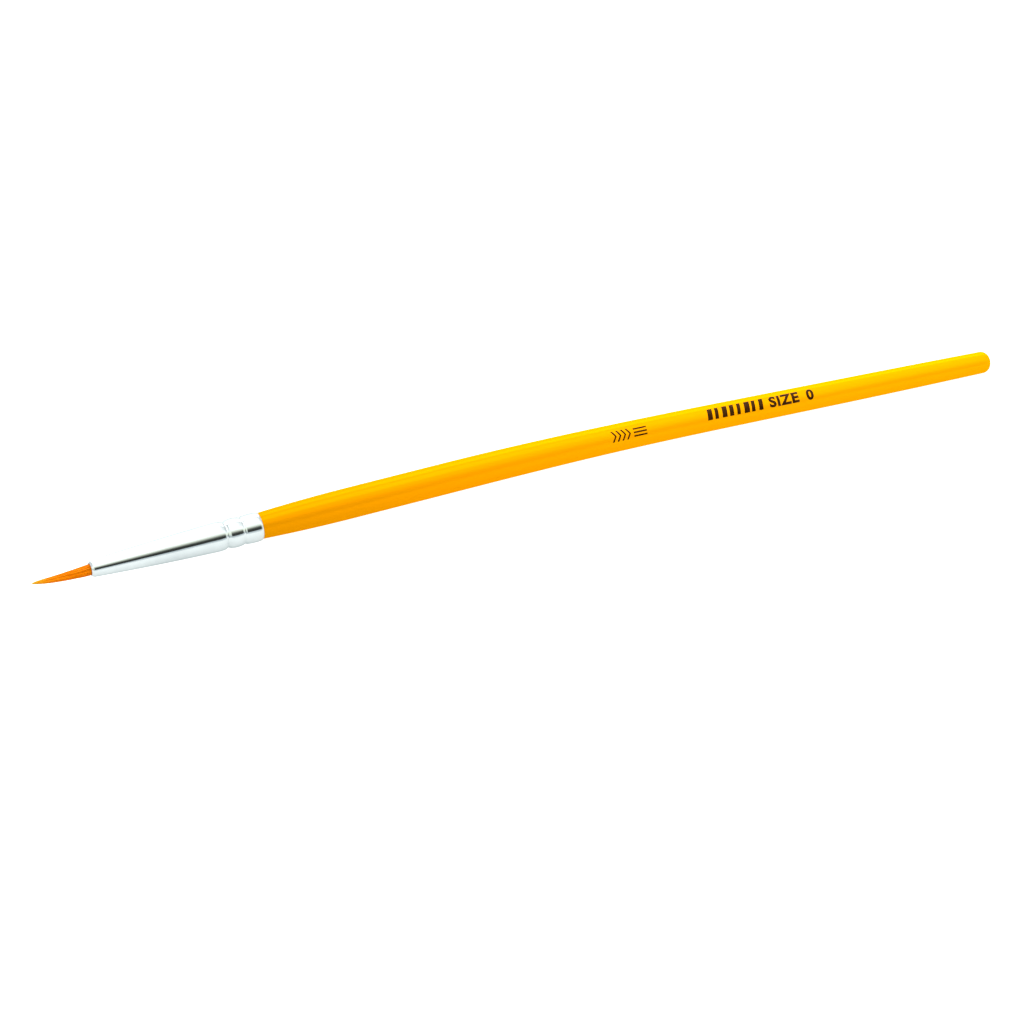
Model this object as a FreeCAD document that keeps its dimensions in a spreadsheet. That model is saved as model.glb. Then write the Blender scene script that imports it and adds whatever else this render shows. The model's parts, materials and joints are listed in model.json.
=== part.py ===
import FreeCAD
import Part
import Sketcher
import math
import os

# Fine detail brush, size 0: a turned and lacquered wooden handle, a seamless
# drawn ferrule crimped over its tenon, and a pointed tuft of filaments bonded
# and tied inside the ferrule.
#
# Modelling axis: X runs from the tuft's point (0) to the butt of the handle,
# on the centreline of the ferrule. Everything up to the end of the grip is
# coaxial with X; behind the grip the handle has a slight sideways bow.
# Every sub-part then gets the same Placement, which lays the brush down as it
# rests on a table: grip and rear of the handle touch the plane Z = 0.

V = FreeCAD.Vector
doc = FreeCAD.newDocument("FineDetailBrush")

# ---------------------------------------------------------------- dimensions
ROWS = [
    # overall
    ("brush_length", 170.0, "tip of the tuft to the butt of the handle"),
    ("lacquer_t", 0.10, "thickness of the dipped lacquer coat behind the grip"),
    # ferrule, outer contour
    ("mouth_x", 9.65, "front face of the ferrule"),
    ("mouth_hole_r", 0.93, "hole the tuft comes out of"),
    ("lip_face_r", 1.10, "flat of the mouth, where the lip starts to round"),
    ("lip_x", 10.35, "where the rounded lip runs into the cone"),
    ("lip_r", 1.42, "outer radius there"),
    ("lip_round", 0.85, "rounding of the lip"),
    ("shoulder_x", 30.9, "largest section of the cone"),
    ("shoulder_r", 2.43, "outer radius there"),
    ("cone_bulge_r", 580.0, "the cone is slightly convex"),
    ("shoulder_round", 4.73, "shoulder curve"),
    ("groove_in_x", 32.05, "front crimp, front edge"),
    ("groove_in_r", 2.33, "outer radius there"),
    ("groove_low_x", 32.35, "front crimp, start of its bottom"),
    ("groove_up_x", 32.55, "front crimp, end of its bottom"),
    ("groove_low_r", 2.15, "outer radius there"),
    ("groove_round", 0.20, "hollow of the crimp"),
    ("groove_out_x", 32.9, "front crimp, rear edge, where the bead starts"),
    ("groove_out_r", 2.33, "outer radius there"),
    ("bead_round", 4.8, "crown of the bead between the two crimps"),
    ("bead_out_x", 35.05, "rear edge of the bead"),
    ("bead_out_r", 2.33, "outer radius there"),
    ("neck_low_x", 35.25, "second crimp, start of its bottom"),
    ("neck_up_x", 35.4, "second crimp, end of its bottom"),
    ("neck_low_r", 2.23, "outer radius there"),
    ("neck_round", 0.18, "hollow of the second crimp"),
    ("neck_out_x", 35.65, "second crimp, rear edge, where the band starts"),
    ("neck_out_r", 2.34, "outer radius there"),
    ("band_round", 11.0, "crown of the rear band"),
    ("band_end_x", 37.95, "where the rear rim turns in"),
    ("band_r", 2.40, "outer radius there"),
    ("rim_x", 38.4, "rear end of the ferrule"),
    ("rim_r", 2.22, "outer radius of the turned-in rim"),
    ("rim_round", 0.90, "rounding of the rim"),
    # ferrule, inner contour
    ("wall", 0.30, "wall of the drawn tube"),
    ("nose_x", 10.3, "where the inner cone starts"),
    ("nose_r", 1.06, "inner radius there"),
    ("cone_slope", 0.05076142, "radius gained per length of the inner cone"),
    ("in_shoulder_round", 4.43, "inner shoulder curve"),
    ("in_bead_round", 4.5, "inner side of the bead"),
    # handle
    ("tenon_x", 25.0, "front end of the wooden tenon"),
    ("joint_r", 2.155, "lacquered handle where it leaves the ferrule"),
    ("grip_x", 54.0, "start of the cylindrical grip"),
    ("grip_end_x", 70.0, "end of the cylindrical grip"),
    ("grip_r", 2.55, "radius of the grip"),
    ("core_taper", 0.02, "the wood is this much thinner at the front of the grip, and the coat thicker"),
    ("swell_round", 308.25, "long arc of the swell in front of the grip"),
    ("butt_round", 1.45, "rounding of the butt"),
    # tuft
    ("bundle_r", 0.90, "radius of the filament bundle in the ferrule"),
    ("bundle_end_x", 22.0, "root ends of the filaments"),
    ("plug_x", 15.5, "front of the adhesive plug"),
    ("thread_x", 13.0, "front of the thread binding"),
    ("thread_pitch", 0.40, "one turn of thread"),
    ("thread_base_r", 0.98, "where neighbouring turns meet"),
    ("thread_round", 0.225, "crown of one turn"),
    ("flex1_x", 7.4, "where the tuft starts to flex"),
    ("flex1_ball_r", 0.77, "radius of the flexing section there"),
    ("flex2_x", 4.2, "where the point starts to flex"),
    ("flex2_ball_r", 0.57, "radius of the flexing section there"),
    ("flex_gap", 0.01, "clearance between the sections"),
    ("root_front_x", 7.96, "front end of the root section"),
    ("root_front_r", 0.82, "its radius"),
    ("belly_front_x", 4.62, "front end of the belly section"),
    ("belly_front_r", 0.61, "its radius"),
    ("tip_mid_x", 2.2, "middle of the pointed section"),
    ("tip_mid_r", 0.42, "its radius"),
    ("tip_fore_x", 0.9, "fore part of the pointed section"),
    ("tip_fore_r", 0.27, "its radius"),
    ("tip_end_r", 0.05, "the point itself"),
    # rest pose of the whole brush
    ("rest_x", -85.0299, "translation"),
    ("rest_y", -1.2554, "translation"),
    ("rest_z", 2.2946, "translation: height of the ferrule's centreline"),
    ("rest_yaw", 1.3112, "degrees about Z: tip and butt in line with X"),
    ("rest_pitch", -0.2743, "degrees about Y"),
    ("rest_roll", 18.1041, "degrees about X: the bowed rear drops onto the table"),
]

# Stations of the rear handle: position along X, sideways bow, radius of the
# lacquered surface, and the direction of the centreline in degrees.
STATIONS = [
    (70.0, 0.000, 2.550, 0.00),
    (73.0, -0.002, 2.546, -0.10),
    (79.0, -0.033, 2.519, -0.49),
    (87.0, -0.139, 2.458, -1.02),
    (96.0, -0.348, 2.377, -1.67),
    (105.0, -0.665, 2.301, -2.35),
    (115.0, -1.127, 2.235, -2.90),
    (125.0, -1.660, 2.182, -3.15),
    (136.0, -2.270, 2.130, -3.18),
    (147.0, -2.875, 2.068, -3.11),
    (158.0, -3.463, 1.973, -3.02),
    (170.0, -4.094, 1.831, -3.01),
]

sheet = doc.addObject("Spreadsheet::Sheet", "Params")
sheet.Label = "Params"
row = 0


def put(alias, value, note):
    global row
    row += 1
    sheet.set("A%d" % row, alias)
    sheet.set("B%d" % row, "%.8g" % value)
    sheet.setAlias("B%d" % row, alias)
    sheet.set("C%d" % row, note)


for alias, value, note in ROWS:
    put(alias, value, note)
for i, (sx, sy, sr, sa) in enumerate(STATIONS):
    put("sta%s_x" % "abcdefghijkl"[i], sx, "rear handle station")
    put("sta%s_y" % "abcdefghijkl"[i], sy, "bow")
    put("sta%s_r" % "abcdefghijkl"[i], sr, "radius")
    put("sta%s_a" % "abcdefghijkl"[i], sa, "direction")
doc.recompute()


def val(alias):
    return float(sheet.get(alias))


def first_value(expr):
    """Value of an expression made of sheet aliases, for first positions."""
    names = {alias: value for alias, value, _ in ROWS}
    total = 0.0
    for term in expr.replace("-", "+-").split("+"):
        term = term.strip()
        if not term:
            continue
        sign = 1.0
        if term.startswith("-"):
            sign, term = -1.0, term[1:].strip()
        product = 1.0
        for factor in term.split("*"):
            factor = factor.strip()
            if factor in names:
                product *= names[factor]
            else:
                product *= float(factor)
        total += sign * product
    return total


def bind(expr):
    """The same expression, with each alias read from the sheet."""
    out = expr
    for alias in sorted((a for a, _, _ in ROWS), key=len, reverse=True):
        parts = []
        i = 0
        while i < len(out):
            if out.startswith(alias, i):
                before = out[i - 1] if i else " "
                after = out[i + len(alias)] if i + len(alias) < len(out) else " "
                if not (before.isalnum() or before in "_.") and not (after.isalnum() or after == "_"):
                    parts.append("Params." + alias)
                    i += len(alias)
                    continue
            parts.append(out[i])
            i += 1
        out = "".join(parts)
    return out


def origin_plane(body, role):
    for feature in body.Origin.OriginFeatures:
        if feature.Role == role:
            return feature
    raise RuntimeError("no plane " + role)


def add_body(name):
    body = doc.addObject("PartDesign::Body", name)
    body.Label = name
    return body


def lay_down(obj):
    """Bind a sub-part's Placement to the rest pose in the sheet."""
    rot = FreeCAD.Rotation(val("rest_yaw"), val("rest_pitch"), val("rest_roll"))
    obj.Placement = FreeCAD.Placement(V(val("rest_x"), val("rest_y"), val("rest_z")), rot)
    obj.setExpression("Placement.Base.x", "Params.rest_x")
    obj.setExpression("Placement.Base.y", "Params.rest_y")
    obj.setExpression("Placement.Base.z", "Params.rest_z")


def arc_between(p0, p1, radius, side):
    """Counter-clockwise arc joining p0 and p1; side +1 bulges away from the axis."""
    mx, my = (p0[0] + p1[0]) / 2.0, (p0[1] + p1[1]) / 2.0
    dx, dy = p1[0] - p0[0], p1[1] - p0[1]
    chord = math.hypot(dx, dy)
    nx, ny = -dy / chord, dx / chord
    if ny * side < 0 or (abs(ny) < 1e-9 and nx * side < 0):
        nx, ny = -nx, -ny
    depth = math.sqrt(max(radius * radius - chord * chord / 4.0, 0.0))
    cx, cy = mx - nx * depth, my - ny * depth
    a0 = math.atan2(p0[1] - cy, p0[0] - cx)
    a1 = math.atan2(p1[1] - cy, p1[0] - cx)
    if (a1 - a0) % (2 * math.pi) > math.pi:
        a0, a1 = a1, a0
    if a1 < a0:
        a1 += 2 * math.pi
    return Part.ArcOfCircle(Part.Circle(V(cx, cy, 0), V(0, 0, 1), radius), a0, a1)


def revolved(body, name, outline):
    """Revolve a closed outline about X.

    outline: list of (x, r, link), the link describing the way to the next
    vertex: "line", or ("arc", radius, side). x and r are expressions in the
    sheet's aliases; r "0" lies on the axis.
    """
    sk = body.newObject("Sketcher::SketchObject", name + "_profile")
    sk.AttachmentSupport = (origin_plane(body, "XY_Plane"), "")
    sk.MapMode = "FlatFace"
    pts = [(first_value(x), first_value(r)) for x, r, _ in outline]
    n = len(outline)
    geo, ends = [], []
    for i, (x, r, link) in enumerate(outline):
        p0, p1 = pts[i], pts[(i + 1) % n]
        a, b = V(p0[0], p0[1], 0), V(p1[0], p1[1], 0)
        if link == "line":
            gid = sk.addGeometry(Part.LineSegment(a, b), False)
            ends.append((1, 2))
        else:
            arc = arc_between(p0, p1, first_value(link[1]), link[2])
            gid = sk.addGeometry(arc, False)
            if (arc.StartPoint - a).Length < (arc.EndPoint - a).Length:
                ends.append((1, 2))
            else:
                ends.append((2, 1))
        geo.append(gid)
    for i in range(n):
        j = (i + 1) % n
        sk.addConstraint(Sketcher.Constraint("Coincident", geo[i], ends[i][1], geo[j], ends[j][0]))
    for i, (x, r, link) in enumerate(outline):
        c = sk.addConstraint(Sketcher.Constraint("DistanceX", -1, 1, geo[i], ends[i][0], pts[i][0]))
        sk.setExpression("Constraints[%d]" % c, bind(x))
        if r == "0":
            sk.addConstraint(Sketcher.Constraint("PointOnObject", geo[i], ends[i][0], -1))
        else:
            c = sk.addConstraint(Sketcher.Constraint("DistanceY", -1, 1, geo[i], ends[i][0], pts[i][1]))
            sk.setExpression("Constraints[%d]" % c, bind(r))
        if link != "line":
            c = sk.addConstraint(Sketcher.Constraint("Radius", geo[i], first_value(link[1])))
            sk.setExpression("Constraints[%d]" % c, bind(link[1]))
    rev = body.newObject("PartDesign::Revolution", name + "_revolve")
    rev.Profile = (sk, [""])
    rev.ReferenceAxis = (sk, ["H_Axis"])
    rev.Angle = 360.0
    sk.Visibility = False
    doc.recompute()
    return rev


def rear_loft(body, name, inset):
    """The bowed rear of the handle, through circles square to its centreline."""
    rings = []
    for i in range(len(STATIONS)):
        key = "sta%s_" % "abcdefghijkl"[i]
        sk = body.newObject("Sketcher::SketchObject", "%s_ring_%02d" % (name, i + 1))
        sk.AttachmentSupport = (origin_plane(body, "YZ_Plane"), "")
        sk.MapMode = "FlatFace"
        last = i == len(STATIONS) - 1
        ang = math.radians(STATIONS[i][3])
        back = inset if last else 0.0
        sk.AttachmentOffset = FreeCAD.Placement(
            V(STATIONS[i][1] - back * math.sin(ang), 0, STATIONS[i][0] - back * math.cos(ang)),
            FreeCAD.Rotation(V(0, 1, 0), STATIONS[i][3]),
        )
        if last and inset:
            sk.setExpression("AttachmentOffset.Base.x", "Params.%sy - Params.lacquer_t * sin(Params.%sa * 1 deg)" % (key, key))
            sk.setExpression("AttachmentOffset.Base.z", "Params.%sx - Params.lacquer_t * cos(Params.%sa * 1 deg)" % (key, key))
        else:
            sk.setExpression("AttachmentOffset.Base.x", "Params.%sy" % key)
            sk.setExpression("AttachmentOffset.Base.z", "Params.%sx" % key)
        g = sk.addGeometry(Part.Circle(V(0, 0, 0), V(0, 0, 1), STATIONS[i][2] - inset), False)
        sk.addConstraint(Sketcher.Constraint("Coincident", g, 3, -1, 1))
        c = sk.addConstraint(Sketcher.Constraint("Radius", g, STATIONS[i][2] - inset))
        sk.setExpression("Constraints[%d]" % c, "Params.%sr" % key + (" - Params.lacquer_t" if inset else ""))
        sk.Visibility = False
        rings.append(sk)
    doc.recompute()
    loft = body.newObject("PartDesign::AdditiveLoft", name + "_loft")
    loft.Profile = rings[0]
    loft.Sections = rings[1:]
    loft.Ruled = False
    loft.Closed = False
    doc.recompute()
    return loft


def round_butt(body, base, name, inset):
    """Round the rear end."""
    cx, cy = STATIONS[-1][0], STATIONS[-1][1]
    want = None
    for i, e in enumerate(base.Shape.Edges):
        c = e.BoundBox
        if c.XMin > cx - 1.0 and abs(e.Length - 2 * math.pi * (STATIONS[-1][2] - inset)) < 0.2:
            want = "Edge%d" % (i + 1)
    if want is None:
        raise RuntimeError("no butt edge on " + name)
    fil = body.newObject("PartDesign::Fillet", name + "_butt_round")
    fil.Base = (base, [want])
    fil.Radius = val("butt_round") - inset
    fil.setExpression("Radius", "Params.butt_round" + (" - Params.lacquer_t" if inset else ""))
    doc.recompute()
    return fil


# Inner contour of the ferrule behind the cone, shared with the tenon that is
# crimped into it, front to back.
INNER = [
    ("shoulder_x", "nose_r + shoulder_x*cone_slope - nose_x*cone_slope", ("arc", "in_shoulder_round", 1)),
    ("groove_in_x", "groove_in_r - wall", "line"),
    ("groove_low_x", "groove_low_r - wall", "line"),
    ("groove_up_x", "groove_low_r - wall", "line"),
    ("groove_out_x", "groove_out_r - wall", ("arc", "in_bead_round", 1)),
    ("bead_out_x", "bead_out_r - wall", "line"),
    ("neck_low_x", "neck_low_r - wall", "line"),
    ("neck_up_x", "neck_low_r - wall", "line"),
    ("neck_out_x", "neck_out_r - wall", "line"),
    ("rim_x", "joint_r - lacquer_t", "line"),
]

# ------------------------------------------------------------------- ferrule
# Seamless drawn tube: rounded lip at the mouth, slightly convex cone, then two
# rolled crimps with a bead between them, a short band and a turned-in rim.
ferrule = add_body("ferrule")
inner_back = []
for k in range(len(INNER) - 1, -1, -1):
    x, r, _ = INNER[k]
    link = INNER[k - 1][2] if k > 0 else "line"
    inner_back.append((x, r, link))
revolved(ferrule, "ferrule", [
    ("mouth_x", "mouth_hole_r", "line"),
    ("mouth_x", "lip_face_r", ("arc", "lip_round", 1)),
    ("lip_x", "lip_r", ("arc", "cone_bulge_r", 1)),
    ("shoulder_x", "shoulder_r", ("arc", "shoulder_round", 1)),
    ("groove_in_x", "groove_in_r", "line"),
    ("groove_low_x", "groove_low_r", ("arc", "groove_round", -1)),
    ("groove_up_x", "groove_low_r", "line"),
    ("groove_out_x", "groove_out_r", ("arc", "bead_round", 1)),
    ("bead_out_x", "bead_out_r", "line"),
    ("neck_low_x", "neck_low_r", ("arc", "neck_round", -1)),
    ("neck_up_x", "neck_low_r", "line"),
    ("neck_out_x", "neck_out_r", ("arc", "band_round", 1)),
    ("band_end_x", "band_r", ("arc", "rim_round", 1)),
    ("rim_x", "rim_r", "line"),
] + inner_back + [
    ("nose_x", "nose_r", "line"),
])

# --------------------------------------------------------------- handle core
# Turned wood: a tenon shaped by the crimps, the swell, the grip and the bowed
# rear, all inside the lacquer coat.
handle_core = add_body("handle_core")
revolved(handle_core, "core_front", [
    ("tenon_x", "0", "line"),
    ("tenon_x", "nose_r + tenon_x*cone_slope - nose_x*cone_slope", "line"),
] + INNER[:-1] + [
    ("rim_x", "joint_r - lacquer_t", ("arc", "swell_round", 1)),
    ("grip_x", "grip_r - lacquer_t - core_taper", "line"),
    ("grip_end_x", "grip_r - lacquer_t", "line"),
    ("grip_end_x", "0", "line"),
])
core_loft = rear_loft(handle_core, "core_rear", val("lacquer_t"))
round_butt(handle_core, core_loft, "core", val("lacquer_t"))

# ------------------------------------------------------------ handle lacquer
# The coat is the lacquered blank less the wood inside it.
handle_blank = add_body("handle_blank")
revolved(handle_blank, "blank_front", [
    ("rim_x", "0", "line"),
    ("rim_x", "joint_r", ("arc", "swell_round", 1)),
    ("grip_x", "grip_r", "line"),
    ("grip_end_x", "grip_r", "line"),
    ("grip_end_x", "0", "line"),
])
blank_loft = rear_loft(handle_blank, "blank_rear", 0.0)
round_butt(handle_blank, blank_loft, "blank", 0.0)

handle_lacquer = doc.addObject("Part::Cut", "handle_lacquer")
handle_lacquer.Label = "handle_lacquer"
handle_lacquer.Base = handle_blank
handle_lacquer.Tool = handle_core

# ------------------------------------------------------------- adhesive plug
# Cured in the cone around the root of the bundle, up to the end of the tenon.
epoxy_plug = add_body("epoxy_plug")
revolved(epoxy_plug, "plug", [
    ("plug_x", "bundle_r", "line"),
    ("plug_x", "nose_r + plug_x*cone_slope - nose_x*cone_slope", "line"),
    ("tenon_x", "nose_r + tenon_x*cone_slope - nose_x*cone_slope", "line"),
    ("tenon_x", "0", "line"),
    ("bundle_end_x", "0", "line"),
    ("bundle_end_x", "bundle_r", "line"),
])

# ------------------------------------------------------------ thread binding
# Four turns of thread drawn tight round the bundle.
binding_thread = add_body("binding_thread")
turns = []
for i in range(4):
    turns.append(("thread_x + %d*thread_pitch" % i, "thread_base_r", ("arc", "thread_round", 1)))
revolved(binding_thread, "thread", [
    ("thread_x", "bundle_r", "line"),
] + turns + [
    ("thread_x + 4*thread_pitch", "thread_base_r", "line"),
    ("thread_x + 4*thread_pitch", "bundle_r", "line"),
])

# ---------------------------------------------------------------------- tuft
# One bundle of filaments. Root, belly and point are three sections of it, so
# that it can flex: each section's rounded rear sits in a hollow of the one
# behind it.


def hollow(centre, ball, face):
    """Radius at which a hollow of radius ball + flex_gap meets a face plane."""
    r = val(ball) + val("flex_gap")
    d = val(face) - val(centre)
    return math.sqrt(r * r - d * d)


ROWS.append(("root_hollow_r", round(hollow("flex1_x", "flex1_ball_r", "root_front_x"), 6), "edge of the hollow"))
put(*ROWS[-1])
ROWS.append(("belly_hollow_r", round(hollow("flex2_x", "flex2_ball_r", "belly_front_x"), 6), "edge of the hollow"))
put(*ROWS[-1])
doc.recompute()

tuft_root = add_body("tuft_root")
revolved(tuft_root, "root", [
    ("bundle_end_x", "0", "line"),
    ("bundle_end_x", "bundle_r", "line"),
    ("mouth_x", "bundle_r", "line"),
    ("root_front_x", "root_front_r", "line"),
    ("root_front_x", "root_hollow_r", ("arc", "flex1_ball_r + flex_gap", 1)),
    ("flex1_x + flex1_ball_r + flex_gap", "0", "line"),
])

tuft_belly = add_body("tuft_belly")
revolved(tuft_belly, "belly", [
    ("flex1_x + flex1_ball_r", "0", ("arc", "flex1_ball_r", 1)),
    ("flex1_x", "flex1_ball_r", "line"),
    ("belly_front_x", "belly_front_r", "line"),
    ("belly_front_x", "belly_hollow_r", ("arc", "flex2_ball_r + flex_gap", 1)),
    ("flex2_x + flex2_ball_r + flex_gap", "0", "line"),
])

tuft_tip = add_body("tuft_tip")
revolved(tuft_tip, "tip", [
    ("flex2_x + flex2_ball_r", "0", ("arc", "flex2_ball_r", 1)),
    ("flex2_x", "flex2_ball_r", "line"),
    ("tip_mid_x", "tip_mid_r", "line"),
    ("tip_fore_x", "tip_fore_r", "line"),
    ("0", "tip_end_r", "line"),
    ("0", "0", "line"),
])

# ------------------------------------------------------------------ placement
bodies = [ferrule, handle_core, epoxy_plug, binding_thread, tuft_root, tuft_belly, tuft_tip]
for obj in bodies + [handle_blank]:
    lay_down(obj)
doc.recompute()

# --------------------------------------------------------------------- checks
for obj in doc.Objects:
    if "Invalid" in obj.State or "Error" in obj.State:
        raise RuntimeError("%s failed: %s" % (obj.Label, obj.State))

nodes = [handle_core, handle_lacquer, ferrule, epoxy_plug, binding_thread, tuft_root, tuft_belly, tuft_tip]
os.makedirs("parts", exist_ok=True)
for obj in nodes:
    shape = obj.Shape
    if shape.isNull() or not shape.isValid() or len(shape.Solids) != 1:
        raise RuntimeError("%s has no single valid solid" % obj.Label)
for obj in nodes:
    obj.Shape.exportStep("parts/%s.step" % obj.Label)
    bb = obj.Shape.BoundBox
    print("%-15s %9.3f mm3  x %8.3f %8.3f  y %7.3f %7.3f  z %6.3f %6.3f" % (
        obj.Label, obj.Shape.Volume, bb.XMin, bb.XMax, bb.YMin, bb.YMax, bb.ZMin, bb.ZMax))
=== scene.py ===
"""Looks of the fine detail brush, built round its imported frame."""
import json
import math
import random

import bpy
import numpy as np
from mathutils import Matrix, Vector

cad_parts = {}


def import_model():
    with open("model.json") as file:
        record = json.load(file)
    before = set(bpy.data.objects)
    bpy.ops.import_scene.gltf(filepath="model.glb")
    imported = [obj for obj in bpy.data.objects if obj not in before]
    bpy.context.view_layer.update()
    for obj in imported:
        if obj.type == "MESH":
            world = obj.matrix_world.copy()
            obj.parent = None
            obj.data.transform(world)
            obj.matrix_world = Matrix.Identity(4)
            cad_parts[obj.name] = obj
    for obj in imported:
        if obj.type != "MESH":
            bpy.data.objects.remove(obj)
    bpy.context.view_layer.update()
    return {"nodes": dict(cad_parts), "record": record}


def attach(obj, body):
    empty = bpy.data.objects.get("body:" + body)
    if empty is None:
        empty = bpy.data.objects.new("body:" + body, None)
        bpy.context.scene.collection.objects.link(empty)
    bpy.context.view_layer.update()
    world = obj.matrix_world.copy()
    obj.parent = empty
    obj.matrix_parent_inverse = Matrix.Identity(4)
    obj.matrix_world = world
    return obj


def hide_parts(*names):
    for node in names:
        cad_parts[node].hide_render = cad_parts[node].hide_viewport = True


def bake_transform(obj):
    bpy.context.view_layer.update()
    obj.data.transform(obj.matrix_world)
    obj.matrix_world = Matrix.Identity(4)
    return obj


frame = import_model()
random.seed(7)
rng = np.random.default_rng(7)

scene = bpy.context.scene
MM = 0.001

# ------------------------------------------------------------------ axes
# The brush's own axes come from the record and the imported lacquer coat:
# x from the tuft's point to the butt, y and z across.
record = frame["record"]
grip = [m for m in record["mounts"] if m["name"] == "grip"][0]
joints = {j["name"]: j for j in record["behaviour"]["joints"]}
AX = -Vector(grip["axis"]).normalized()
TIP = Vector(joints["tuft_bend"]["pos_m"]) - AX * 7.4 * MM
co = np.array([v.co for v in frame["nodes"]["handle_lacquer"].data.vertices], float)
along = (co - np.array(TIP)) @ np.array(AX)
tail = co[along > along.max() - 8 * MM].mean(axis=0) - np.array(TIP)
tail = Vector(tail)
AY = -(tail - AX * tail.dot(AX)).normalized()
AZ = AX.cross(AY).normalized()


def world(x, y, z):
    """A point in the brush's axes, in mm, as a point of the row frame in m."""
    return TIP + (AX * x + AY * y + AZ * z) * MM


def world_array(p):
    p = np.asarray(p, float) * MM
    return np.array(TIP) + p[..., :1] * np.array(AX) + p[..., 1:2] * np.array(AY) + p[..., 2:3] * np.array(AZ)


# ------------------------------------------------------------------ helpers
def link(obj):
    scene.collection.objects.link(obj)
    return obj


def mesh_object(name, verts, faces, smooth=True):
    mesh = bpy.data.meshes.new(name)
    mesh.from_pydata([tuple(v) for v in verts], [], faces)
    mesh.update()
    if smooth:
        mesh.polygons.foreach_set("use_smooth", [True] * len(mesh.polygons))
    mesh.update()
    return link(bpy.data.objects.new(name, mesh))


def spline(xs, ys):
    """Natural cubic spline through the points, as a function of an array."""
    xs, ys = np.asarray(xs, float), np.asarray(ys, float)
    n = len(xs)
    h = np.diff(xs)
    a = np.zeros((n, n))
    b = np.zeros(n)
    a[0, 0] = a[-1, -1] = 1
    for i in range(1, n - 1):
        a[i, i - 1], a[i, i], a[i, i + 1] = h[i - 1], 2 * (h[i - 1] + h[i]), h[i]
        b[i] = 6 * ((ys[i + 1] - ys[i]) / h[i] - (ys[i] - ys[i - 1]) / h[i - 1])
    m = np.linalg.solve(a, b)

    def f(x):
        x = np.asarray(x, float)
        i = np.clip(np.searchsorted(xs, x) - 1, 0, n - 2)
        t0, t1 = xs[i + 1] - x, x - xs[i]
        return (m[i] * t0 ** 3 + m[i + 1] * t1 ** 3) / (6 * h[i]) + (ys[i] / h[i] - m[i] * h[i] / 6) * t0 + (
            ys[i + 1] / h[i] - m[i + 1] * h[i] / 6) * t1

    return f


def lathe(name, rings, seg=128, closed=False, caps=(False, False)):
    """Skin over circles: each ring is (centre x, centre y, radius, heading in degrees)."""
    verts, faces = [], []
    for cx, cy, r, head in rings:
        c, s = math.cos(math.radians(head)), math.sin(math.radians(head))
        for k in range(seg):
            a = 2 * math.pi * k / seg
            u, w = r * math.cos(a), r * math.sin(a)
            verts.append(world(cx - s * u, cy + c * u, w))
    n = len(rings)
    ends = (1 if caps[0] else 0) + (1 if caps[1] else 0)
    for i in range(n if closed else n - 1):
        j = (i + 1) % n
        for k in range(seg):
            m = (k + 1) % seg
            faces.append((i * seg + k, j * seg + k, j * seg + m, i * seg + m))
    if caps[0]:
        faces.append(tuple(range(seg)))
    if caps[1]:
        faces.append(tuple((n - 1) * seg + k for k in reversed(range(seg))))
    obj = mesh_object(name, verts, faces)
    for k in range(ends):
        obj.data.polygons[len(faces) - 1 - k].use_smooth = False
    bm_fix_normals(obj)
    return obj


def bm_fix_normals(obj):
    import bmesh
    bm = bmesh.new()
    bm.from_mesh(obj.data)
    bmesh.ops.recalc_face_normals(bm, faces=bm.faces)
    bm.to_mesh(obj.data)
    bm.free()
    obj.data.update()


# ------------------------------------------------------------------ shapes
# Handle: the same stations as the lacquered blank.
STATIONS = [
    (70.0, 0.000, 2.550, 0.00), (73.0, -0.002, 2.546, -0.10), (79.0, -0.033, 2.519, -0.49),
    (87.0, -0.139, 2.458, -1.02), (96.0, -0.348, 2.377, -1.67), (105.0, -0.665, 2.301, -2.35),
    (115.0, -1.127, 2.235, -2.90), (125.0, -1.660, 2.182, -3.15), (136.0, -2.270, 2.130, -3.18),
    (147.0, -2.875, 2.068, -3.11), (158.0, -3.463, 1.973, -3.02), (170.0, -4.094, 1.831, -3.01),
]
RIM_X, JOINT_R, GRIP_X, GRIP_END, GRIP_R, SWELL, BUTT_R = 38.4, 2.155, 54.0, 70.0, 2.55, 308.25, 1.45
sx = [s[0] for s in STATIONS]
lead = [GRIP_END - 6.0, GRIP_END - 3.0]
bow_f = spline(lead + sx, [0.0, 0.0] + [s[1] for s in STATIONS])
rad_f = spline(lead + sx, [GRIP_R, GRIP_R] + [s[2] for s in STATIONS])


def bow(x):
    return float(bow_f(x)) if x > GRIP_END else 0.0


def radius(x):
    if x < GRIP_X:
        return GRIP_R - SWELL + math.sqrt(SWELL ** 2 - (GRIP_X - x) ** 2)
    if x <= GRIP_END:
        return GRIP_R
    return float(rad_f(x))


def heading(x):
    return math.degrees(math.atan((bow(x + 0.2) - bow(x - 0.2)) / 0.4)) if x > GRIP_END - 1 else 0.0


def handle_rings(inset, x0):
    rings = []
    x = x0
    end = 170.0
    stop = end - BUTT_R
    n = 330
    for i in range(n + 1):
        x = x0 + (stop - x0) * i / n
        rings.append((x, bow(x), radius(x) - inset, heading(x)))
    # rounded butt, then a slightly domed end
    h = heading(stop)
    ch, sh = math.cos(math.radians(h)), math.sin(math.radians(h))
    r_end = radius(end - 0.2) - inset
    rr = BUTT_R - inset
    bx, by = stop, bow(stop)
    for i in range(1, 15):
        a = math.pi / 2 * i / 14
        d = rr * math.sin(a)
        rings.append((bx + ch * d, by + sh * d, r_end - rr * (1 - math.cos(a)) + (radius(stop) - radius(end - 0.2)) * (1 - i / 14), h))
    last = rings[-1]
    flat = last[2]
    for k, f in enumerate((0.8, 0.55, 0.28, 0.05)):
        dome = 0.035 * (1 - f * f)
        rings.append((last[0] + ch * dome, last[1] + sh * dome, flat * f, h))
    return rings


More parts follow.
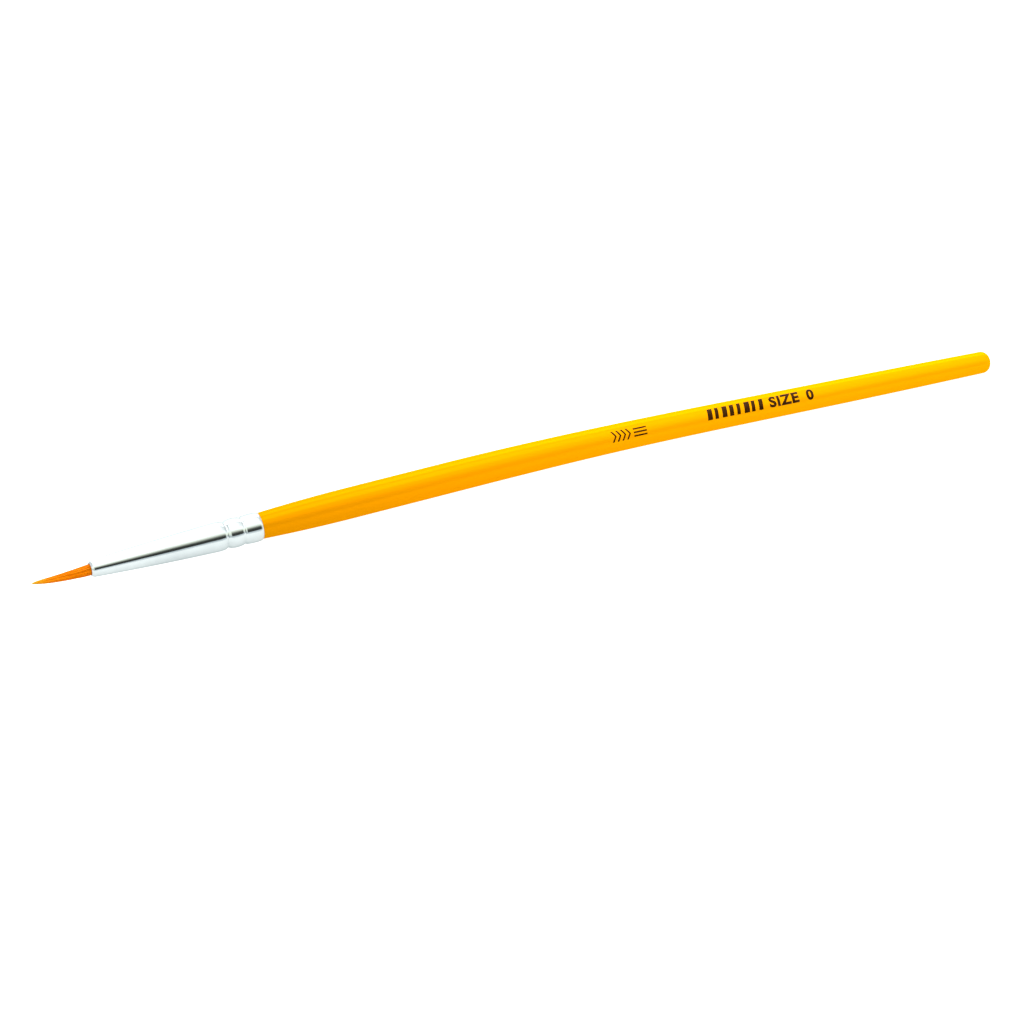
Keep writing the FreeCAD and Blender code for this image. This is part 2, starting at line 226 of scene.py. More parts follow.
def ferrule_profile():
    """Outer contour from mouth to rear rim and back inside, as (x, r)."""
    def arc(p0, p1, rad, side, n):
        mx, my = (p0[0] + p1[0]) / 2, (p0[1] + p1[1]) / 2
        dx, dy = p1[0] - p0[0], p1[1] - p0[1]
        ch = math.hypot(dx, dy)
        nx, ny = -dy / ch, dx / ch
        if ny * side < 0:
            nx, ny = -nx, -ny
        dep = math.sqrt(max(rad * rad - ch * ch / 4, 0))
        cx, cy = mx - nx * dep, my - ny * dep
        a0, a1 = math.atan2(p0[1] - cy, p0[0] - cx), math.atan2(p1[1] - cy, p1[0] - cx)
        d = (a1 - a0 + math.pi) % (2 * math.pi) - math.pi
        return [(cx + rad * math.cos(a0 + d * i / n), cy + rad * math.sin(a0 + d * i / n)) for i in range(n)]

    def straight(p0, p1, n):
        return [(p0[0] + (p1[0] - p0[0]) * i / n, p0[1] + (p1[1] - p0[1]) * i / n) for i in range(n)]

    out = []
    out += [(9.68, 1.00), (9.65, 1.04)]
    out += arc((9.65, 1.10), (10.35, 1.42), 0.85, 1, 12)
    out += arc((10.35, 1.42), (30.9, 2.43), 580.0, 1, 90)
    out += arc((30.9, 2.43), (32.05, 2.33), 4.73, 1, 14)
    out += straight((32.05, 2.33), (32.35, 2.15), 5)
    out += arc((32.35, 2.15), (32.55, 2.15), 0.20, -1, 6)
    out += straight((32.55, 2.15), (32.9, 2.33), 5)
    out += arc((32.9, 2.33), (35.05, 2.33), 4.8, 1, 26)
    out += straight((35.05, 2.33), (35.25, 2.23), 4)
    out += arc((35.25, 2.23), (35.4, 2.23), 0.18, -1, 5)
    out += straight((35.4, 2.23), (35.65, 2.34), 4)
    out += arc((35.65, 2.34), (37.95, 2.40), 11.0, 1, 24)
    out += arc((37.95, 2.40), (38.39, 2.20), 0.90, 1, 10)
    out += [(38.39, 2.20), (38.37, 2.14), (38.28, 2.10)]
    inner = [(36.4, 2.06), (35.3, 1.92), (34.0, 2.12), (32.45, 1.84), (30.9, 2.09), (20.0, 1.55), (10.45, 1.07), (10.0, 0.965), (9.8, 0.96)]
    return out, inner


def smooth_profile(points, passes=3, keep=3):
    """Soften the corners between arcs, as rolled sheet does."""
    p = np.array(points, float)
    for _ in range(passes):
        q = p.copy()
        q[keep:-keep] = 0.25 * p[keep - 1:-keep - 1] + 0.5 * p[keep:-keep] + 0.25 * p[keep + 1:len(p) - keep + 1]
        p = q
    return [tuple(v) for v in p]


# ------------------------------------------------------------------ materials
def new_material(name):
    mat = bpy.data.materials.new(name)
    mat.use_nodes = True
    nt = mat.node_tree
    bsdf = nt.nodes["Principled BSDF"]
    return mat, nt, bsdf


def node(nt, kind, **values):
    n = nt.nodes.new(kind)
    for k, v in values.items():
        if hasattr(n, k):
            setattr(n, k, v)
        else:
            n.inputs[k.replace("_", " ")].default_value = v
    return n


def attribute(obj, name, values):
    a = obj.data.attributes.new(name, "FLOAT", "POINT")
    a.data.foreach_set("value", np.asarray(values, np.float32))


def lacquer_material():
    mat, nt, bsdf = new_material("lacquer_yellow")
    L = nt.links
    tc = node(nt, "ShaderNodeTexCoord")
    # slow shade variation where the dipped coat pooled thicker or thinner
    pool = node(nt, "ShaderNodeTexNoise")
    pool.inputs["Scale"].default_value = 55.0
    pool.inputs["Detail"].default_value = 2.0
    L.new(tc.outputs["Object"], pool.inputs["Vector"])
    # faint wood figure under the lacquer, drawn out along the handle
    mp = node(nt, "ShaderNodeMapping")
    mp.inputs["Scale"].default_value = (60.0, 1400.0, 1400.0)
    L.new(tc.outputs["Object"], mp.inputs["Vector"])
    grain = node(nt, "ShaderNodeTexNoise")
    grain.inputs["Scale"].default_value = 1.0
    grain.inputs["Detail"].default_value = 4.0
    L.new(mp.outputs["Vector"], grain.inputs["Vector"])
    mixv = node(nt, "ShaderNodeMix", data_type="FLOAT")
    mixv.inputs[0].default_value = 0.35
    L.new(pool.outputs["Fac"], mixv.inputs[2])
    L.new(grain.outputs["Fac"], mixv.inputs[3])
    # painted shade: the base colour runs darker towards the ferrule end of the handle and lighter towards the butt
    sep = node(nt, "ShaderNodeSeparateXYZ")
    L.new(tc.outputs["Object"], sep.inputs[0])
    painted_shade_along = node(nt, "ShaderNodeMapRange")
    painted_shade_along.inputs["From Min"].default_value = -0.047
    painted_shade_along.inputs["From Max"].default_value = 0.085
    L.new(sep.outputs["X"], painted_shade_along.inputs["Value"])
    spread = node(nt, "ShaderNodeMath", operation="MULTIPLY_ADD")
    spread.inputs[1].default_value = 0.24
    spread.inputs[2].default_value = -0.12
    L.new(mixv.outputs[0], spread.inputs[0])
    painted_shade_and_tone = node(nt, "ShaderNodeMath", operation="ADD")
    L.new(painted_shade_along.outputs["Result"], painted_shade_and_tone.inputs[0])
    L.new(spread.outputs[0], painted_shade_and_tone.inputs[1])
    # the ramp carries the painted shade along the handle, mixed with the random coat and grain tone
    ramp = node(nt, "ShaderNodeValToRGB")
    cr = ramp.color_ramp
    cr.elements[0].position, cr.elements[0].color = 0.03, (0.56, 0.207, 0.0, 1)
    cr.elements[1].position, cr.elements[1].color = 1.0, (0.70, 0.295, 0.0, 1)
    for p, c in ((0.25, (0.68, 0.245, 0.0, 1)), (0.45, (0.70, 0.270, 0.0, 1)), (0.80, (0.70, 0.286, 0.0, 1))):
        el = cr.elements.new(p)
        el.color = c
    L.new(painted_shade_and_tone.outputs[0], ramp.inputs["Fac"])
    L.new(ramp.outputs["Color"], bsdf.inputs["Base Color"])
    # orange-peel of the coat and fine handling marks
    peel = node(nt, "ShaderNodeTexNoise")
    peel.inputs["Scale"].default_value = 420.0
    peel.inputs["Detail"].default_value = 2.0
    L.new(tc.outputs["Object"], peel.inputs["Vector"])
    bump = node(nt, "ShaderNodeBump")
    bump.inputs["Strength"].default_value = 0.10
    bump.inputs["Distance"].default_value = 0.00006
    L.new(peel.outputs["Fac"], bump.inputs["Height"])
    L.new(bump.outputs["Normal"], bsdf.inputs["Normal"])
    marks = node(nt, "ShaderNodeTexNoise")
    marks.inputs["Scale"].default_value = 900.0
    marks.inputs["Detail"].default_value = 5.0
    L.new(tc.outputs["Object"], marks.inputs["Vector"])
    rough = node(nt, "ShaderNodeMapRange")
    rough.inputs["From Min"].default_value = 0.35
    rough.inputs["From Max"].default_value = 0.75
    rough.inputs["To Min"].default_value = 0.11
    rough.inputs["To Max"].default_value = 0.17
    L.new(marks.outputs["Fac"], rough.inputs["Value"])
    L.new(rough.outputs["Result"], bsdf.inputs["Roughness"])
    bsdf.inputs["IOR"].default_value = 1.45
    bsdf.inputs["Metallic"].default_value = 0.13
    bsdf.inputs["Specular IOR Level"].default_value = 0.0
    bsdf.inputs["Specular Tint"].default_value = (1.0, 0.95, 0.0, 1)
    return mat


def metal_material():
    mat, nt, bsdf = new_material("ferrule_plating")
    L = nt.links
    bsdf.inputs["Metallic"].default_value = 1.0
    bsdf.inputs["Specular Tint"].default_value = (0.72, 0.77, 0.77, 1)
    tc = node(nt, "ShaderNodeTexCoord")
    # drawing lines along the tube
    mp = node(nt, "ShaderNodeMapping")
    mp.inputs["Scale"].default_value = (90.0, 5200.0, 5200.0)
    L.new(tc.outputs["Object"], mp.inputs["Vector"])
    lines = node(nt, "ShaderNodeTexNoise")
    lines.inputs["Scale"].default_value = 1.0
    lines.inputs["Detail"].default_value = 3.0
    L.new(mp.outputs["Vector"], lines.inputs["Vector"])
    cloud = node(nt, "ShaderNodeTexNoise")
    cloud.inputs["Scale"].default_value = 260.0
    cloud.inputs["Detail"].default_value = 3.0
    L.new(tc.outputs["Object"], cloud.inputs["Vector"])
    ramp = node(nt, "ShaderNodeValToRGB")
    e = ramp.color_ramp.elements
    e[0].position, e[0].color = 0.25, (0.43, 0.477, 0.484, 1)
    e[1].position, e[1].color = 0.75, (0.49, 0.54, 0.545, 1)
    L.new(cloud.outputs["Fac"], ramp.inputs["Fac"])
    L.new(ramp.outputs["Color"], bsdf.inputs["Base Color"])
    rough = node(nt, "ShaderNodeMapRange")
    rough.inputs["From Min"].default_value = 0.3
    rough.inputs["From Max"].default_value = 0.7
    rough.inputs["To Min"].default_value = 0.07
    rough.inputs["To Max"].default_value = 0.15
    L.new(lines.outputs["Fac"], rough.inputs["Value"])
    L.new(rough.outputs["Result"], bsdf.inputs["Roughness"])
    bump = node(nt, "ShaderNodeBump")
    bump.inputs["Strength"].default_value = 0.12
    bump.inputs["Distance"].default_value = 0.00002
    L.new(lines.outputs["Fac"], bump.inputs["Height"])
    L.new(bump.outputs["Normal"], bsdf.inputs["Normal"])
    return mat


def filament_material():
    mat, nt, bsdf = new_material("filament_orange")
    L = nt.links
    pos = node(nt, "ShaderNodeAttribute", attribute_name="along")
    tone = node(nt, "ShaderNodeAttribute", attribute_name="tone")
    ramp = node(nt, "ShaderNodeValToRGB")
    # colour along the tuft from point (0) to ferrule mouth (1), yellower at the thin points; the darker last stop is
    # painted shade where the bundle goes into the ferrule
    cr = ramp.color_ramp
    cr.elements[0].position, cr.elements[0].color = 0.0, (0.71, 0.43, 0.030, 1)
    cr.elements[1].position, cr.elements[1].color = 1.0, (0.63, 0.165, 0.0, 1)
    for p, c in ((0.10, (0.74, 0.320, 0.008, 1)), (0.28, (0.76, 0.222, 0.003, 1)), (0.60, (0.73, 0.188, 0.0, 1)), (0.88, (0.72, 0.185, 0.0, 1))):
        el = cr.elements.new(p)
        el.color = c
    L.new(pos.outputs["Fac"], ramp.inputs["Fac"])
    hsv = node(nt, "ShaderNodeHueSaturation")
    shade = node(nt, "ShaderNodeMapRange")
    shade.inputs["To Min"].default_value = 0.93
    shade.inputs["To Max"].default_value = 1.04
    L.new(tone.outputs["Fac"], shade.inputs["Value"])
    L.new(shade.outputs["Result"], hsv.inputs["Value"])
    L.new(ramp.outputs["Color"], hsv.inputs["Color"])
    L.new(hsv.outputs["Color"], bsdf.inputs["Base Color"])
    bsdf.inputs["Roughness"].default_value = 0.34
    bsdf.inputs["Metallic"].default_value = 0.10
    bsdf.inputs["Specular IOR Level"].default_value = 0.08
    bsdf.inputs["IOR"].default_value = 1.5
    bsdf.inputs["Specular Tint"].default_value = (1.0, 0.80, 0.25, 1)
    bsdf.inputs["Subsurface Weight"].default_value = 0.12
    bsdf.inputs["Subsurface Radius"].default_value = (1.0, 0.4, 0.05)
    bsdf.inputs["Subsurface Scale"].default_value = 0.0004
    return mat


def ink_material():
    mat, nt, bsdf = new_material("printed_ink")
    L = nt.links
    tc = node(nt, "ShaderNodeTexCoord")
    wear = node(nt, "ShaderNodeTexNoise")
    wear.inputs["Scale"].default_value = 2600.0
    wear.inputs["Detail"].default_value = 3.0
    L.new(tc.outputs["Object"], wear.inputs["Vector"])
    ramp = node(nt, "ShaderNodeValToRGB")
    e = ramp.color_ramp.elements
    e[0].position, e[0].color = 0.30, (0.010, 0.002, 0.0, 1)
    e[1].position, e[1].color = 0.80, (0.040, 0.010, 0.001, 1)
    L.new(wear.outputs["Fac"], ramp.inputs["Fac"])
    L.new(ramp.outputs["Color"], bsdf.inputs["Base Color"])
    rough = node(nt, "ShaderNodeMapRange")
    rough.inputs["To Min"].default_value = 0.25
    rough.inputs["To Max"].default_value = 0.5
    L.new(wear.outputs["Fac"], rough.inputs["Value"])
    L.new(rough.outputs["Result"], bsdf.inputs["Roughness"])
    bsdf.inputs["Specular IOR Level"].default_value = 0.15
    bsdf.inputs["Specular Tint"].default_value = (1.0, 0.6, 0.15, 1)
    return mat


def wood_material():
    mat, nt, bsdf = new_material("handle_wood")
    L = nt.links
    tc = node(nt, "ShaderNodeTexCoord")
    mp = node(nt, "ShaderNodeMapping")
    mp.inputs["Scale"].default_value = (40.0, 900.0, 900.0)
    L.new(tc.outputs["Object"], mp.inputs["Vector"])
    n = node(nt, "ShaderNodeTexNoise")
    n.inputs["Scale"].default_value = 1.0
    n.inputs["Detail"].default_value = 6.0
    L.new(mp.outputs["Vector"], n.inputs["Vector"])
    ramp = node(nt, "ShaderNodeValToRGB")
    e = ramp.color_ramp.elements
    e[0].position, e[0].color = 0.3, (0.42, 0.27, 0.13, 1)
    e[1].position, e[1].color = 0.7, (0.68, 0.50, 0.30, 1)
    L.new(n.outputs["Fac"], ramp.inputs["Fac"])
    L.new(ramp.outputs["Color"], bsdf.inputs["Base Color"])
    bsdf.inputs["Roughness"].default_value = 0.6
    return mat


def plug_material():
    mat, nt, bsdf = new_material("cured_adhesive")
    L = nt.links
    tc = node(nt, "ShaderNodeTexCoord")
    n = node(nt, "ShaderNodeTexNoise")
    n.inputs["Scale"].default_value = 600.0
    L.new(tc.outputs["Object"], n.inputs["Vector"])
    ramp = node(nt, "ShaderNodeValToRGB")
    e = ramp.color_ramp.elements
    e[0].color = (0.50, 0.33, 0.12, 1)
    e[1].color = (0.66, 0.48, 0.20, 1)
    L.new(n.outputs["Fac"], ramp.inputs["Fac"])
    L.new(ramp.outputs["Color"], bsdf.inputs["Base Color"])
    bsdf.inputs["Roughness"].default_value = 0.3
    return mat


def thread_material():
    mat, nt, bsdf = new_material("binding_thread")
    L = nt.links
    tc = node(nt, "ShaderNodeTexCoord")
    n = node(nt, "ShaderNodeTexNoise")
    n.inputs["Scale"].default_value = 7000.0
    L.new(tc.outputs["Object"], n.inputs["Vector"])
    ramp = node(nt, "ShaderNodeValToRGB")
    e = ramp.color_ramp.elements
    e[0].color = (0.62, 0.60, 0.52, 1)
    e[1].color = (0.86, 0.84, 0.78, 1)
    L.new(n.outputs["Fac"], ramp.inputs["Fac"])
    L.new(ramp.outputs["Color"], bsdf.inputs["Base Color"])
    bsdf.inputs["Roughness"].default_value = 0.85
    return mat


LACQUER = lacquer_material()
METAL = metal_material()
FILAMENT = filament_material()
INK = ink_material()

# ------------------------------------------------------------------ handle
handle = lathe("handle_skin", handle_rings(0.0, RIM_X + 0.005), seg=160, caps=(False, True))
handle.data.materials.append(LACQUER)
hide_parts("handle_lacquer")
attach(handle, "brush")

# ------------------------------------------------------------------ ferrule
outer, inner = ferrule_profile()
outer = smooth_profile(outer)
rings = [(x, 0.0, r, 0.0) for x, r in outer + inner]
ferrule = lathe("ferrule_shell", rings, seg=192, closed=True)
ferrule.data.materials.append(METAL)
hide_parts("ferrule")
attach(ferrule, "brush")

# ------------------------------------------------------------------ tuft
TUFT = [  # station, radius of the bundle, sideways set of its centreline
    (0.0, 0.075, 0.045), (0.4, 0.185, 0.028), (0.97, 0.280, -0.010), (1.6, 0.365, -0.060), (2.26, 0.430, -0.105),
    (2.92, 0.485, -0.135), (3.6, 0.545, -0.158), (4.24, 0.598, -0.172), (4.9, 0.640, -0.185), (5.57, 0.680, -0.192),
    (6.23, 0.722, -0.196), (6.9, 0.757, -0.194), (7.58, 0.797, -0.184), (8.24, 0.838, -0.160), (8.9, 0.868, -0.115),
    (9.9, 0.895, -0.035), (11.5, 0.895, 0.0),
]
tuft_r = spline([q[0] for q in TUFT], [q[1] for q in TUFT])
tuft_y = spline([q[0] for q in TUFT], [q[2] for q in TUFT])
MID = 5.8          # seam between the two halves, inside the belly body
COUNT = 420


def strands(name, lo, hi, steps, sides=6):
    """Every filament between two stations of the tuft, as tapered tubes."""
    verts, faces, caps, al, tone = [], [], [], [], []
    local = np.random.default_rng(21)
    for i in range(COUNT):
        ang = i * 2.399963 + local.normal(0, 0.06)
        rho = math.sqrt((i + 0.5) / COUNT) * 0.955
        end = abs(local.normal(0, 0.16)) * (0.4 + 0.6 * rho) + 0.75 * rho * rho * local.random() * 0.5
        lift = local.normal(0, 0.012)
        wave = local.normal(0, 0.010)
        phase = local.random() * 6.28
        shade = local.random()
        thick = 0.042 * (0.85 + 0.3 * local.random())
        if i >= COUNT - 6:
            rho += 0.05
            wave *= 2.5
        a, b = max(lo, end), hi
        if a >= b - 0.05:
            continue
        base = len(verts)
        xs = np.linspace(a, b, steps)
        if lo < end:                      # gather rings near the pointed end
            xs = a + (b - a) * (np.linspace(0, 1, steps) ** 1.4)
        if lo == MID:                     # a short end ring keeps the shading straight at the seam
            xs = np.insert(xs, 1, MID + 0.006)
        else:
            xs = np.insert(xs, -1, MID - 0.006)
        for x in xs:
            R = float(tuft_r(x))
            scale = R / 0.895
            rr = rho * R * (1 + lift) + wave * math.sin(0.9 * x + phase) * scale
            cy = float(tuft_y(x)) + rr * math.cos(ang + 0.015 * x)
            cz = rr * math.sin(ang + 0.015 * x)
            taper = min(1.0, 0.45 + (x - end) / 2.4)
            th = thick * max(scale, 0.30) * taper
            for k in range(sides):
                q = 2 * math.pi * k / sides
                verts.append(world(x, cy + th * math.cos(q), cz + th * math.sin(q)))
                al.append(min(1.0, max(0.0, x / 10.0)))
                tone.append(shade)
        rows = len(xs)
        for s in range(rows - 1):
            for k in range(sides):
                m = (k + 1) % sides
                faces.append((base + s * sides + k, base + (s + 1) * sides + k, base + (s + 1) * sides + m, base + s * sides + m))
        caps += [len(faces), len(faces) + 1]
        faces.append(tuple(base + k for k in range(sides)))
        faces.append(tuple(base + (rows - 1) * sides + k for k in reversed(range(sides))))
    obj = mesh_object(name, verts, faces)
    for c in caps:
        obj.data.polygons[c].use_smooth = False
    bm_fix_normals(obj)
    attribute(obj, "along", al)
    attribute(obj, "tone", tone)
    obj.data.materials.append(FILAMENT)
    return obj


def core(name, lo, hi, steps, cap_lo, cap_hi):
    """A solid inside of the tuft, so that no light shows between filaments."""
    rings = []
    for x in np.linspace(lo, hi, steps):
        rings.append((float(x), float(tuft_y(x)), float(tuft_r(x)) * 0.80, 0.0))
    obj = lathe(name, rings, seg=40, caps=(cap_lo, cap_hi))
    attribute(obj, "along", [min(1, max(0, ((Vector(v.co) - TIP).dot(AX) / MM) / 10.0)) for v in obj.data.vertices])
    attribute(obj, "tone", [0.2] * len(obj.data.vertices))
    obj.data.materials.append(FILAMENT)
    return obj


root_half = strands("tuft_filaments_root", MID, 11.4, 14)
tip_half = strands("tuft_filaments_tip", 0.0, MID, 16)
root_core = core("tuft_heart_root", MID, 11.4, 14, True, True)
tip_core = core("tuft_heart_tip", 0.9, MID, 14, True, True)
for o in (root_half, root_core):
    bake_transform(o)
for o in (tip_half, tip_core):
    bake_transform(o)
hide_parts("tuft_belly")
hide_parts("tuft_tip")
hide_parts("tuft_root")

# ------------------------------------------------------------------ printed marks
# Flat outlines in mm, u along the handle and v up its side, are cut into small
# faces, given a film's thickness and laid on the lacquer.
def plate(name, polygons, text=None):
    """polygons: lists of (u, v). text: (string, u0, u1, height, v0)."""
    import bmesh
    bm = bmesh.new()
    for poly in polygons:
        bm.faces.new([bm.verts.new((u, v, 0)) for u, v in poly])
    if text:
        body, u0, u1, height, v0 = text
        cu = bpy.data.curves.new(name + "_text", "FONT")
        cu.body = body
        cu.size = 1.0
        cu.offset = 0.042
        cu.space_character = 1.12
        cu.resolution_u = 6
        tmp = link(bpy.data.objects.new(name + "_text", cu))
        bpy.context.view_layer.update()
        dg = bpy.context.evaluated_depsgraph_get()
        me = bpy.data.meshes.new_from_object(tmp.evaluated_get(dg))
        c = np.array([v.co for v in me.vertices], float)
        lo, hi = c.min(axis=0), c.max(axis=0)
        for v in me.vertices:
            v.co = ((v.co.x - lo[0]) / (hi[0] - lo[0]) * (u1 - u0) + u0, (v.co.y - lo[1]) / (hi[1] - lo[1]) * height + v0, 0)
        bm.from_mesh(me)
        bpy.data.objects.remove(tmp)
        bpy.data.curves.remove(cu)
        bpy.data.meshes.remove(me)
    bmesh.ops.remove_doubles(bm, verts=bm.verts, dist=1e-5)
    us = [v.co.x for v in bm.verts]
    vs = [v.co.y for v in bm.verts]
    for axis, lo, hi, gap in ((0, min(us), max(us), 0.5), (1, min(vs), max(vs), 0.15)):
        n = int((hi - lo) / gap)
        for i in range(1, n + 1):
            co = [0, 0, 0]
            no = [0, 0, 0]
            co[axis] = lo + i * gap
            no[axis] = 1
            bmesh.ops.bisect_plane(bm, geom=bm.verts[:] + bm.edges[:] + bm.faces[:], dist=1e-6, plane_co=co, plane_no=no)
    for f in bm.faces:
        f.normal_update()
        if f.normal.z < 0:
            f.normal_flip()
    ext = bmesh.ops.extrude_face_region(bm, geom=bm.faces[:])
    for g in ext["geom"]:
        if isinstance(g, bmesh.types.BMVert):
            g.co.z = 1.0
    bmesh.ops.recalc_face_normals(bm, faces=bm.faces)
    mesh = bpy.data.meshes.new(name)
    bm.to_mesh(mesh)
    bm.free()
    return link(bpy.data.objects.new(name, mesh))


def lay_on_handle(obj, rise_deg):
    """Wrap a flat plate round the handle, its v = 0 line facing rise_deg above level on the near side."""
    near = AX.cross(Vector((0, 0, 1))).normalized()
    if near.y > 0:
        near = -near
    over = Vector((0, 0, 1))
    over = (over - AX * over.dot(AX)).normalized()
    d = near * math.cos(math.radians(rise_deg)) + over * math.sin(math.radians(rise_deg))
    zero = math.atan2(d.dot(AZ), d.dot(AY))
    d1 = near * math.cos(math.radians(rise_deg + 1)) + over * math.sin(math.radians(rise_deg + 1))
    step_ = math.atan2(d1.dot(AZ), d1.dot(AY)) - zero
    step_ = (step_ + math.pi) % (2 * math.pi) - math.pi
    turn = 1.0 if step_ > 0 else -1.0
    for v in obj.data.vertices:
        u, w, k = v.co.x, v.co.y, v.co.z
        r = radius(u)
        a = zero + turn * w / r
        rr = r - 0.010 + 0.020 * k
        h = math.radians(heading(u))
        cu, cv = rr * math.cos(a), rr * math.sin(a)
        v.co = world(u - math.sin(h) * cu, bow(u) + math.cos(h) * cu, cv)
    obj.data.update()
    bm_fix_normals(obj)
    obj.data.materials.append(INK)
    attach(obj, "brush")


emblem = []
for k in range(4):                 # four chevrons, then a row of short bars
    a = 99.8 + 0.86 * k
    emblem.append([(a, -0.95), (a + 0.30, -0.95), (a + 0.86, 0.0), (a + 0.56, 0.0)])
    emblem.append([(a + 0.56, 0.0), (a + 0.86, 0.0), (a + 0.30, 0.95), (a, 0.95)])
for k, (a, b, v) in enumerate(((103.75, 106.1, 0.60), (103.75, 106.1, 0.0), (103.75, 106.1, -0.60))):
    emblem.append([(a, v - 0.13), (b, v - 0.13), (b, v + 0.13), (a, v + 0.13)])
mark_a = plate("print_emblem", emblem)
lay_on_handle(mark_a, 44.0)

bars = []
for i in range(8):
    a = 117.1 + i * 1.33
    w = (0.86, 0.62, 0.86, 0.74, 0.62, 0.95, 0.62, 0.74)[i]
    bars.append([(a, -0.97), (a + w, -0.97), (a + w + 0.22, 0.97), (a + 0.22, 0.97)])
mark_b = plate("print_bars", bars)
lay_on_handle(mark_b, 53.0)
mark_c = plate("print_size", [], text=("SIZE", 128.4, 133.8, 1.94, -0.97))
lay_on_handle(mark_c, 53.0)
mark_d = plate("print_number", [], text=("0", 135.2, 136.5, 1.94, -0.97))
lay_on_handle(mark_d, 53.0)

# ------------------------------------------------------------------ hidden CAD nodes
for name, mat in (("handle_core", wood_material()), ("epoxy_plug", plug_material()), ("binding_thread", thread_material())):
    o = frame["nodes"][name]
    if not o.data.materials:
        o.data.materials.append(mat)
    for slot in o.material_slots:
        slot.link = "OBJECT"
        slot.material = mat

# ------------------------------------------------------------------ camera
EL, YAW, ROLL, DIST, FOCAL = 37.0, 22.9833, 0.8806, 0.650, 141.1677
AIM = Vector((-0.0072455, -0.0112351, 0.002))
el, yaw, roll = math.radians(EL), math.radians(YAW), math.radians(ROLL)
fwd = Vector((math.cos(el) * math.sin(yaw), math.cos(el) * math.cos(yaw), -math.sin(el)))
right = Vector((math.cos(yaw), -math.sin(yaw), 0))
up = right.cross(fwd)
r2 = right * math.cos(roll) + up * math.sin(roll)
u2 = -right * math.sin(roll) + up * math.cos(roll)
cam_data = bpy.data.cameras.new("camera")
cam_data.lens = FOCAL
cam_data.sensor_width = 36.0
cam_data.clip_start = 0.01
cam_data.clip_end = 50.0
cam = link(bpy.data.objects.new("camera", cam_data))
cam.matrix_world = Matrix.Translation(AIM - fwd * DIST) @ Matrix((r2, u2, -fwd)).transposed().to_4x4()
scene.camera = cam

# ------------------------------------------------------------------ floor and light
floor = mesh_object("floor", [(-4, -4, 0), (4, -4, 0), (4, 4, 0), (-4, 4, 0)], [(0, 1, 2, 3)], smooth=False)
fmat, fnt, fb = new_material("floor_white")
fb.inputs["Base Color"].default_value = (0.36, 0.36, 0.36, 1)
fb.inputs["Roughness"].default_value = 0.9
fb.inputs["Specular IOR Level"].default_value = 0.1
fb.inputs["Emission Color"].default_value = (1.0, 1.0, 1.0, 1)
fb.inputs["Emission Strength"].default_value = 1.0
floor.data.materials.append(fmat)

# A soft box along the brush, overhead and behind, in a pale studio; one dark
# flag low on the near side gives polished metal its dark line.
wrld = bpy.data.worlds.new("studio")
scene.world = wrld
wrld.use_nodes = True
wn = wrld.node_tree
bg = wn.nodes["Background"]
tc = wn.nodes.new("ShaderNodeTexCoord")
NEAR = AX.cross(Vector((0, 0, 1))).normalized()
if NEAR.y > 0:
    NEAR = -NEAR
FLAT = Vector((AX.x, AX.y, 0)).normalized()


def wdot(v):
    n = wn.nodes.new("ShaderNodeVectorMath")
    n.operation = "DOT_PRODUCT"
    wn.links.new(tc.outputs["Generated"], n.inputs[0])
    n.inputs[1].default_value = tuple(v)
    return n.outputs["Value"]


def wmath(op, a, b=None):
    n = wn.nodes.new("ShaderNodeMath")
    n.operation = op
    for i, v in enumerate((a, b)):
        if v is None:
            continue
        if isinstance(v, (int, float)):
            n.inputs[i].default_value = v
        else:
            wn.links.new(v, n.inputs[i])
    return n.outputs[0]


def wramp(value, stops, peak):
    n = wn.nodes.new("ShaderNodeValToRGB")
    cr = n.color_ramp
    cr.interpolation = "LINEAR"
    while len(cr.elements) > 1:
        cr.elements.remove(cr.elements[0])
    cr.elements[0].position = stops[0][0]
    cr.elements[0].color = (stops[0][1] / peak,) * 3 + (1,)
    for p, v in stops[1:]:
        e = cr.elements.new(p)
        e.color = (v / peak,) * 3 + (1,)
    wn.links.new(value, n.inputs["Fac"])
    return wmath("MULTIPLY", n.outputs["Color"], peak)


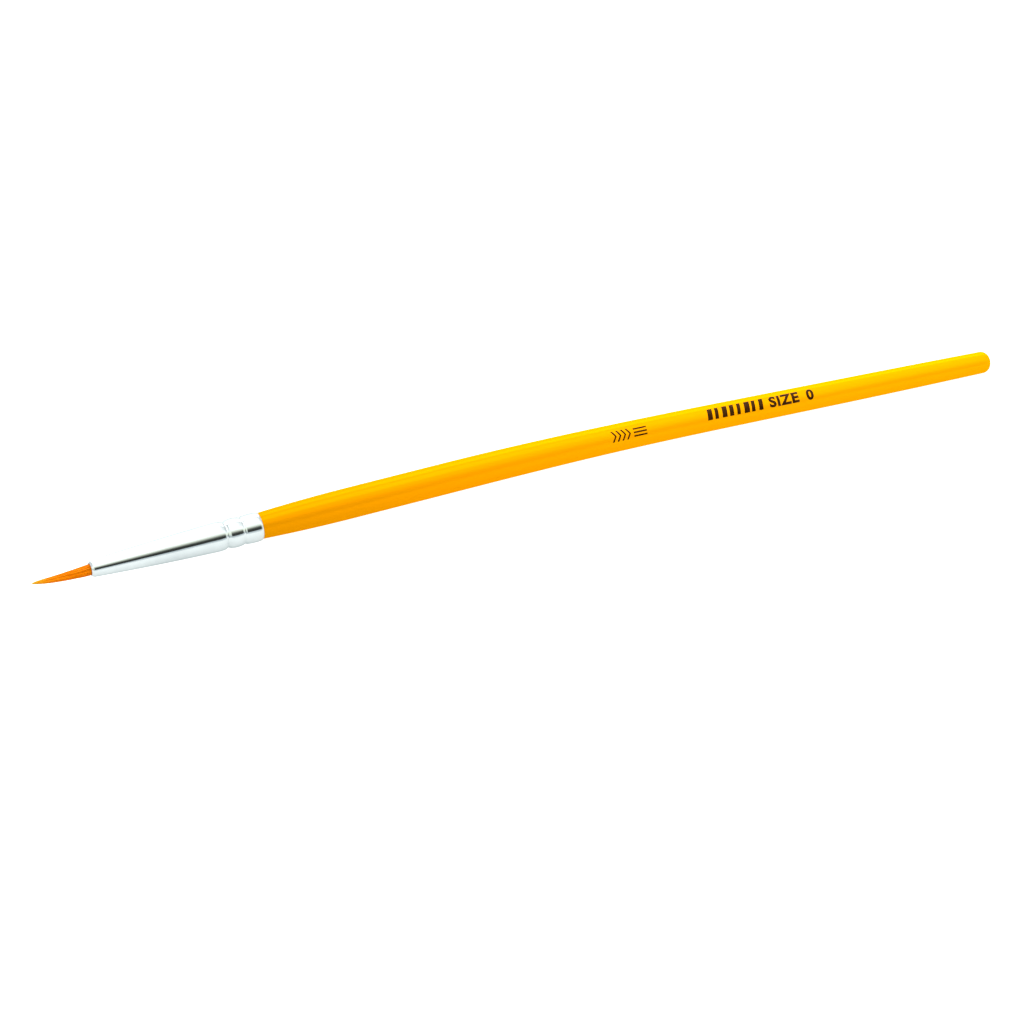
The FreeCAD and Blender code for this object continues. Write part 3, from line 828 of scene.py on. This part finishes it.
rise = wmath("DIVIDE", wmath("ARCTAN2", wdot((0, 0, 1)), wdot(NEAR)), math.pi)
SKY = [(0, 1.2), (10, 1.2), (30, 1.9), (48, 2.35), (74, 2.35), (80, 1.9), (106, 1.75), (112, 1.35), (118, 1.35), (122, 1.7), (152, 1.7), (160, 1.4), (180, 1.4)]
BOX = [(0, 0.0), (74, 0.0), (80, 1.0), (106, 1.0), (111, 0.08), (180, 0.08)]
STRIP = [(0, 0.0), (119, 0.0), (125, 1.0), (142, 1.0), (156, 0.2), (180, 0.05)]
FLAG = [(0, 0.0), (9.5, 0.0), (13.0, 1.0), (29.0, 1.0), (37.0, 0.80), (46.0, 0.42), (54.0, 0.14), (62.0, 0.0), (180, 0.0)]
sky = wramp(rise, [(a / 180.0, v) for a, v in SKY], 2.5)
box_ = wramp(rise, [(a / 180.0, v) for a, v in BOX], 1.0)
strip = wramp(rise, [(a / 180.0, v) for a, v in STRIP], 1.0)
flag = wramp(rise, [(a / 180.0, v) for a, v in FLAG], 1.0)
reach = wmath("ADD", wmath("MULTIPLY", wdot(FLAT), 0.5), 0.5)
window = wramp(reach, [((a + 1) / 2, v) for a, v in ((-1, 0.0), (-0.42, 0.0), (-0.30, 1.0), (0.62, 1.0), (0.74, 0.0), (1, 0.0))], 1.0)
spread = wramp(reach, [((a + 1) / 2, v) for a, v in ((-1, 0.0), (-0.45, 0.0), (-0.2, 1.0), (0.30, 1.0), (0.38, 0.08), (0.50, 0.0), (0.75, 0.0), (1, 0.0))], 1.0)
strength = wmath("MULTIPLY", sky, wmath("ADD", 0.85, wmath("MULTIPLY", window, 0.15)))
strength = wmath("ADD", strength, wmath("MULTIPLY", wmath("MULTIPLY", box_, spread), 3.6))
strength = wmath("ADD", strength, wmath("MULTIPLY", wmath("MULTIPLY", strip, window), 3.4))
strength = wmath("MULTIPLY", strength, wmath("SUBTRACT", 1.0, wmath("MULTIPLY", wmath("MULTIPLY", flag, window), 0.96)))
wn.links.new(strength, bg.inputs["Strength"])
# the studio is a touch cool low down and a touch warm above the flag
tint = wn.nodes.new("ShaderNodeValToRGB")
tr = tint.color_ramp
tr.elements[0].position, tr.elements[0].color = 0.0, (0.93, 0.98, 1.0, 1)
tr.elements[1].position, tr.elements[1].color = 1.0, (1.0, 1.0, 1.0, 1)
for a, c in ((9, (0.90, 0.96, 1.0, 1)), (24, (0.95, 1.0, 0.90, 1)), (42, (1.0, 1.0, 0.84, 1)), (56, (1.0, 1.0, 0.95, 1)), (72, (1.0, 1.0, 1.0, 1))):
    el_ = tr.elements.new(a / 180.0)
    el_.color = c
wn.links.new(rise, tint.inputs["Fac"])
wn.links.new(tint.outputs["Color"], bg.inputs["Color"])

scene.view_settings.view_transform = "Standard"
scene.view_settings.look = "None"
scene.view_settings.exposure = 0.0
scene.view_settings.gamma = 1.0
